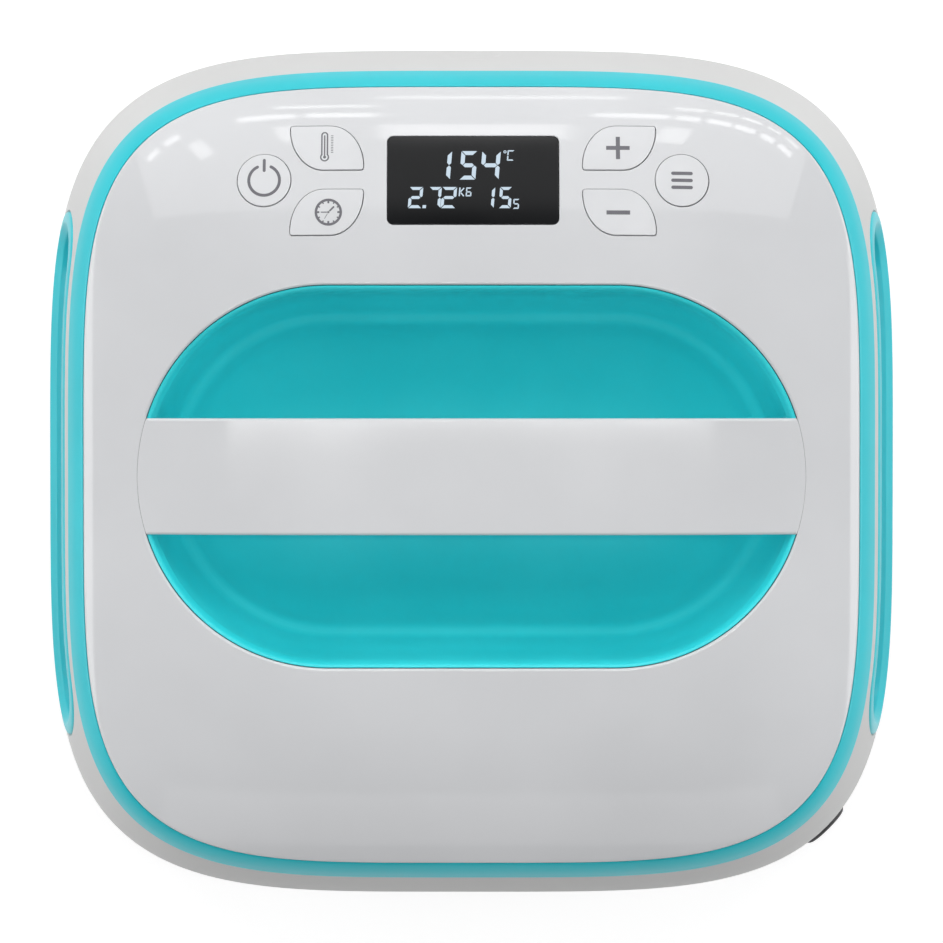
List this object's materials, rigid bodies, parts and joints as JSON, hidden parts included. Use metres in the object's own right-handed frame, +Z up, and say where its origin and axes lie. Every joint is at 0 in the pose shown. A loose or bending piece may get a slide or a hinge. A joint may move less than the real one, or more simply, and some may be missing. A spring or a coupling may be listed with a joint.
{
  "type": "portable heat press",
  "caption": "Square portable heat press with a domed cover, a hand bowl with a bar across it, a display with keys and grip pockets in its sides.",
  "frame": {"origin": "middle of the plate's flat pressing face, which the press stands on", "axes": "+Z up, +Y to the rear where the display is, +X to the right as the user stands"},
  "size_m": [0.2806, 0.28, 0.112],
  "materials": {
    "shell_white": "satin",
    "button_white": "satin",
    "accent_teal": "satin",
    "lens_black": "gloss",
    "base_dark": "matte",
    "plate_coated": "satin",
    "steel": "satin",
    "ceramic_white": "matte",
    "blanket_fibre": "matte",
    "gland_rubber": "matte",
    "board_green": "satin",
    "component_dark": "satin",
    "component_yellow": "satin",
    "plastic_grey": "matte",
    "glass_clear": "gloss"
  },
  "bodies": {
    "press": {"heating_plate": "plate_coated", "heating_element": "steel", "element_terminals": "ceramic_white", "thermal_cutoff": "component_dark", "temperature_probe": "steel", "sensor_screws": "steel", "insulation_blanket": "blanket_fibre", "heat_shield": "steel", "plate_studs": "steel", "load_cells": "steel", "stud_nuts": "steel", "load_cell_screws": "steel", "base_tray": "base_dark", "lower_housing": "shell_white", "side_grip_right": "accent_teal", "side_grip_left": "accent_teal", "accent_ring": "accent_teal", "cord_gland": "gland_rubber", "cord_clamp": "plastic_grey", "clamp_screws": "steel", "power_board": "board_green", "power_board_screws": "steel", "transformer": "component_yellow", "relays": "component_dark", "filter_capacitors": "component_dark", "glass_fuse": "glass_clear", "terminal_block": "board_green", "handle_well": "accent_teal", "well_screws": "steel", "closing_screws": "steel", "handle_pillars": "steel", "handle_stiffener": "steel", "handle_bottom_shell": "shell_white", "handle_top_shell": "shell_white", "handle_screws": "steel", "bar_screws": "steel", "top_cover": "shell_white", "cover_screws": "steel", "display_lens": "lens_black", "display_module": "component_dark", "control_board": "board_green", "control_board_screws": "steel", "button_frame": "plastic_grey", "tact_switches": "component_dark", "buzzer": "component_dark", "ribbon_cable": "plastic_grey"},
    "power_key": {"power_button": "button_white", "power_plunger": "plastic_grey"},
    "temperature_key": {"temperature_button": "button_white", "temperature_plunger": "plastic_grey"},
    "timer_key": {"timer_button": "button_white", "timer_plunger": "plastic_grey"},
    "plus_key": {"plus_button": "button_white", "plus_plunger": "plastic_grey"},
    "minus_key": {"minus_button": "button_white", "minus_plunger": "plastic_grey"},
    "preset_key": {"preset_button": "button_white", "preset_plunger": "plastic_grey"}
  },
  "joints": [
    {"name": "power_press", "type": "slide", "parent": "press", "child": "power_key", "axis": [0, -0.2165, -0.9763], "range_m": [0, 0.0007], "stiffness_N_per_m": 1500},
    {"name": "temperature_press", "type": "slide", "parent": "press", "child": "temperature_key", "axis": [0, -0.2165, -0.9763], "range_m": [0, 0.0007], "stiffness_N_per_m": 1500},
    {"name": "timer_press", "type": "slide", "parent": "press", "child": "timer_key", "axis": [0, -0.2165, -0.9763], "range_m": [0, 0.0007], "stiffness_N_per_m": 1500},
    {"name": "plus_press", "type": "slide", "parent": "press", "child": "plus_key", "axis": [0, -0.2165, -0.9763], "range_m": [0, 0.0007], "stiffness_N_per_m": 1500},
    {"name": "minus_press", "type": "slide", "parent": "press", "child": "minus_key", "axis": [0, -0.2165, -0.9763], "range_m": [0, 0.0007], "stiffness_N_per_m": 1500},
    {"name": "preset_press", "type": "slide", "parent": "press", "child": "preset_key", "axis": [0, -0.2165, -0.9763], "range_m": [0, 0.0007], "stiffness_N_per_m": 1500}
  ]
}
